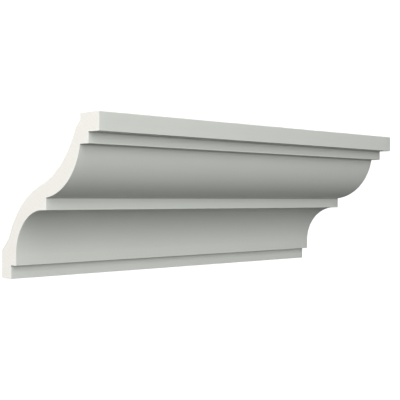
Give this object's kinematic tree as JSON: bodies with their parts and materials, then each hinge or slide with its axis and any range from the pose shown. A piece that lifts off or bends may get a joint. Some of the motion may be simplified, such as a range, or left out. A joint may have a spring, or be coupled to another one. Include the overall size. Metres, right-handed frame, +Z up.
{
  "type": "cornice moulding length",
  "caption": "Short square-cut length of cornice moulding with stepped fascia, ovolo, fillet and cove; covers the corner between wall and ceiling.",
  "frame": {"origin": "middle of the wall pad, the flat strip at the foot of the back that bears on the wall", "axes": "+X along the length, +Y into the wall (the front faces -Y), +Z up to the ceiling"},
  "size_m": [0.3, 0.102, 0.102],
  "materials": {
    "primed_skin": "factory primer on moulded polyurethane, pale greenish grey, smooth and matt; the cut ends are bare cream foam"
  },
  "bodies": {
    "root": {"cornice_moulding": "primed_skin"}
  },
  "joints": []
}
